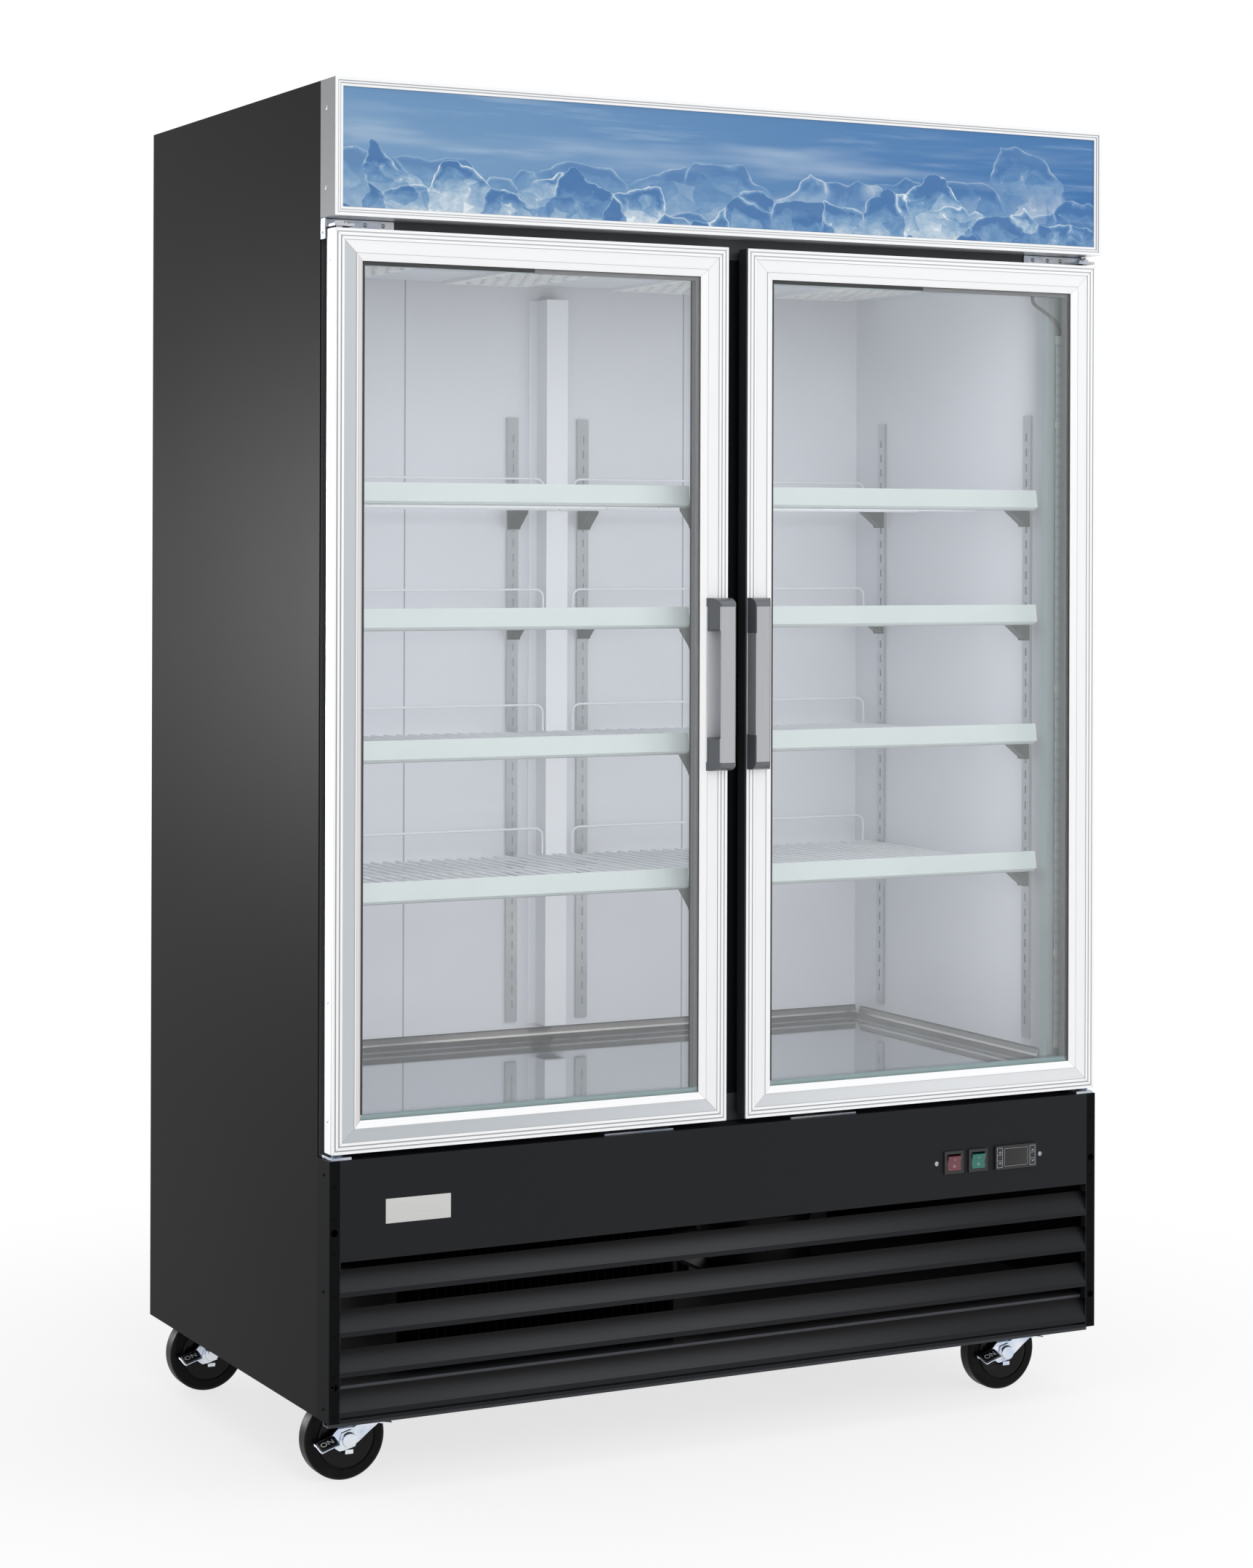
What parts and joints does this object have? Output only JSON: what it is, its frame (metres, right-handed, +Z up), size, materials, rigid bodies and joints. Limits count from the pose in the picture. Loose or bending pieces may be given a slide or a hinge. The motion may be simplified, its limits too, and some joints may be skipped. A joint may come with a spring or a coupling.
{
  "type": "two-door glass door merchandiser",
  "caption": "Upright glass-door cooler with a lit header, two hinged doors, wire shelves, a louvred base and braked swivel casters.",
  "frame": {"origin": "on the floor under the middle of the whole outline, with the doors closed", "axes": "+Z up, +Y from the doors towards the back panel, +X to the right seen from the front"},
  "size_m": [1.346, 0.801, 2.058],
  "materials": {
    "black_sheet": "satin powder coat",
    "black_grille": "satin powder coat",
    "foam": "expanded foam",
    "liner_sheet": "satin white-grey",
    "frame_dark": "matte",
    "mullion_dark": "satin",
    "floor_steel": "brushed",
    "cover_sheet": "satin",
    "grille_white": "matte",
    "coil_metal": "bare",
    "fan_black": "matte",
    "duct_white": "satin",
    "strip_steel": "stamped",
    "clip_grey": "matte",
    "wire_white": "plastic-dipped wire",
    "strip_pale": "clear label strip",
    "tube_lens": "frosted",
    "fitting_white": "matte",
    "header_alu": "satin anodised",
    "header_art": "printed translucent panel",
    "post_black": "satin powder coat",
    "chassis_dark": "satin",
    "control_black": "matte",
    "rocker_red": "translucent",
    "rocker_green": "translucent",
    "button_grey": "matte",
    "hinge_zinc": "zinc plated",
    "compressor_black": "gloss enamel",
    "condenser_metal": "painted fins",
    "zinc": "bright zinc plated",
    "door_alu": "satin anodised",
    "pane": "clear",
    "gasket": "soft black",
    "grip_steel": "brushed",
    "wheel_black": "hard tread"
  },
  "bodies": {
    "cabinet": {"left_side_panel": "black_sheet", "right_side_panel": "black_sheet", "top_panel": "black_sheet", "back_panel": "black_sheet", "foam_body": "foam", "inner_liner": "liner_sheet", "front_frame": "frame_dark", "centre_mullion": "mullion_dark", "floor_panel": "floor_steel", "evaporator_cover": "cover_sheet", "ceiling_grilles": "grille_white", "evaporator": "coil_metal", "rear_duct": "duct_white", "pilasters": "strip_steel", "shelf_clips": "clip_grey", "shelves_bottom": "wire_white", "shelves_second": "wire_white", "shelves_third": "wire_white", "shelves_top": "wire_white", "price_strips": "strip_pale", "led_tubes": "tube_lens", "led_fittings": "fitting_white", "header_frame": "header_alu", "header_sign": "header_art", "base_panel": "black_grille", "corner_posts": "post_black", "chassis": "chassis_dark", "control_housings": "control_black", "hinge_brackets": "hinge_zinc", "compressor": "compressor_black", "condenser": "condenser_metal", "caster_plates": "zinc"},
    "left_door": {"left_door_frame": "door_alu", "left_door_glass": "pane", "left_door_seal": "gasket", "left_door_handle": "grip_steel"},
    "right_door": {"right_door_frame": "door_alu", "right_door_glass": "pane", "right_door_seal": "gasket", "right_door_handle": "grip_steel"},
    "evaporator_fan": {"evaporator_fan": "fan_black"},
    "condenser_fan": {"condenser_fan": "fan_black"},
    "red_rocker": {"red_rocker": "rocker_red"},
    "green_rocker": {"green_rocker": "rocker_green"},
    "set_button": {"set_button": "button_grey"},
    "defrost_button": {"defrost_button": "button_grey"},
    "up_button": {"up_button": "button_grey"},
    "down_button": {"down_button": "button_grey"},
    "fork_front_left": {"fork_front_left": "zinc"},
    "wheel_front_left": {"wheel_front_left": "wheel_black"},
    "brake_front_left": {"brake_front_left": "zinc"},
    "fork_front_right": {"fork_front_right": "zinc"},
    "wheel_front_right": {"wheel_front_right": "wheel_black"},
    "brake_front_right": {"brake_front_right": "zinc"},
    "fork_rear_left": {"fork_rear_left": "zinc"},
    "wheel_rear_left": {"wheel_rear_left": "wheel_black"},
    "brake_rear_left": {"brake_rear_left": "zinc"},
    "fork_rear_right": {"fork_rear_right": "zinc"},
    "wheel_rear_right": {"wheel_rear_right": "wheel_black"},
    "brake_rear_right": {"brake_rear_right": "zinc"}
  },
  "joints": [
    {"name": "left_door_hinge", "type": "hinge", "parent": "cabinet", "child": "left_door", "pos_m": [-0.656, -0.3565, 1.171], "axis": [0, 0, -1], "range_deg": [0, 110]},
    {"name": "right_door_hinge", "type": "hinge", "parent": "cabinet", "child": "right_door", "pos_m": [0.656, -0.3565, 1.171], "axis": [0, 0, 1], "range_deg": [0, 110]},
    {"name": "evaporator_fan_spin", "type": "hinge", "parent": "cabinet", "child": "evaporator_fan", "pos_m": [0, 0.0235, 1.906], "axis": [0, 1, 0], "continuous": true},
    {"name": "condenser_fan_spin", "type": "hinge", "parent": "cabinet", "child": "condenser_fan", "pos_m": [-0.3, -0.2155, 0.321], "axis": [0, 1, 0], "continuous": true},
    {"name": "red_rocker_tilt", "type": "hinge", "parent": "cabinet", "child": "red_rocker", "pos_m": [0.398, -0.3665, 0.402], "axis": [-1, 0, 0], "range_deg": [0, 16]},
    {"name": "green_rocker_tilt", "type": "hinge", "parent": "cabinet", "child": "green_rocker", "pos_m": [0.444, -0.3665, 0.402], "axis": [-1, 0, 0], "range_deg": [0, 16]},
    {"name": "set_button_press", "type": "slide", "parent": "cabinet", "child": "set_button", "axis": [0, 1, 0], "range_m": [0, 0.0006], "stiffness_N_per_m": 400},
    {"name": "defrost_button_press", "type": "slide", "parent": "cabinet", "child": "defrost_button", "axis": [0, 1, 0], "range_m": [0, 0.0006], "stiffness_N_per_m": 400},
    {"name": "up_button_press", "type": "slide", "parent": "cabinet", "child": "up_button", "axis": [0, 1, 0], "range_m": [0, 0.0006], "stiffness_N_per_m": 400},
    {"name": "down_button_press", "type": "slide", "parent": "cabinet", "child": "down_button", "axis": [0, 1, 0], "range_m": [0, 0.0006], "stiffness_N_per_m": 400},
    {"name": "swivel_front_left", "type": "hinge", "parent": "cabinet", "child": "fork_front_left", "pos_m": [-0.582, -0.2595, 0.15], "axis": [0, 0, 1], "continuous": true},
    {"name": "roll_front_left", "type": "hinge", "parent": "fork_front_left", "child": "wheel_front_left", "pos_m": [-0.607, -0.2595, 0.0635], "axis": [0, 1, 0], "continuous": true},
    {"name": "pedal_front_left", "type": "hinge", "parent": "fork_front_left", "child": "brake_front_left", "pos_m": [-0.607, -0.2595, 0.0635], "axis": [0, 1, 0], "range_deg": [0, 20]},
    {"name": "swivel_front_right", "type": "hinge", "parent": "cabinet", "child": "fork_front_right", "pos_m": [0.582, -0.2595, 0.15], "axis": [0, 0, 1], "continuous": true},
    {"name": "roll_front_right", "type": "hinge", "parent": "fork_front_right", "child": "wheel_front_right", "pos_m": [0.557, -0.2595, 0.0635], "axis": [0, 1, 0], "continuous": true},
    {"name": "pedal_front_right", "type": "hinge", "parent": "fork_front_right", "child": "brake_front_right", "pos_m": [0.557, -0.2595, 0.0635], "axis": [0, 1, 0], "range_deg": [0, 20]},
    {"name": "swivel_rear_left", "type": "hinge", "parent": "cabinet", "child": "fork_rear_left", "pos_m": [-0.582, 0.3195, 0.15], "axis": [0, 0, 1], "continuous": true},
    {"name": "roll_rear_left", "type": "hinge", "parent": "fork_rear_left", "child": "wheel_rear_left", "pos_m": [-0.607, 0.3195, 0.0635], "axis": [0, 1, 0], "continuous": true},
    {"name": "pedal_rear_left", "type": "hinge", "parent": "fork_rear_left", "child": "brake_rear_left", "pos_m": [-0.607, 0.3195, 0.0635], "axis": [0, 1, 0], "range_deg": [0, 20]},
    {"name": "swivel_rear_right", "type": "hinge", "parent": "cabinet", "child": "fork_rear_right", "pos_m": [0.582, 0.3195, 0.15], "axis": [0, 0, 1], "continuous": true},
    {"name": "roll_rear_right", "type": "hinge", "parent": "fork_rear_right", "child": "wheel_rear_right", "pos_m": [0.557, 0.3195, 0.0635], "axis": [0, 1, 0], "continuous": true},
    {"name": "pedal_rear_right", "type": "hinge", "parent": "fork_rear_right", "child": "brake_rear_right", "pos_m": [0.557, 0.3195, 0.0635], "axis": [0, 1, 0], "range_deg": [0, 20]}
  ]
}
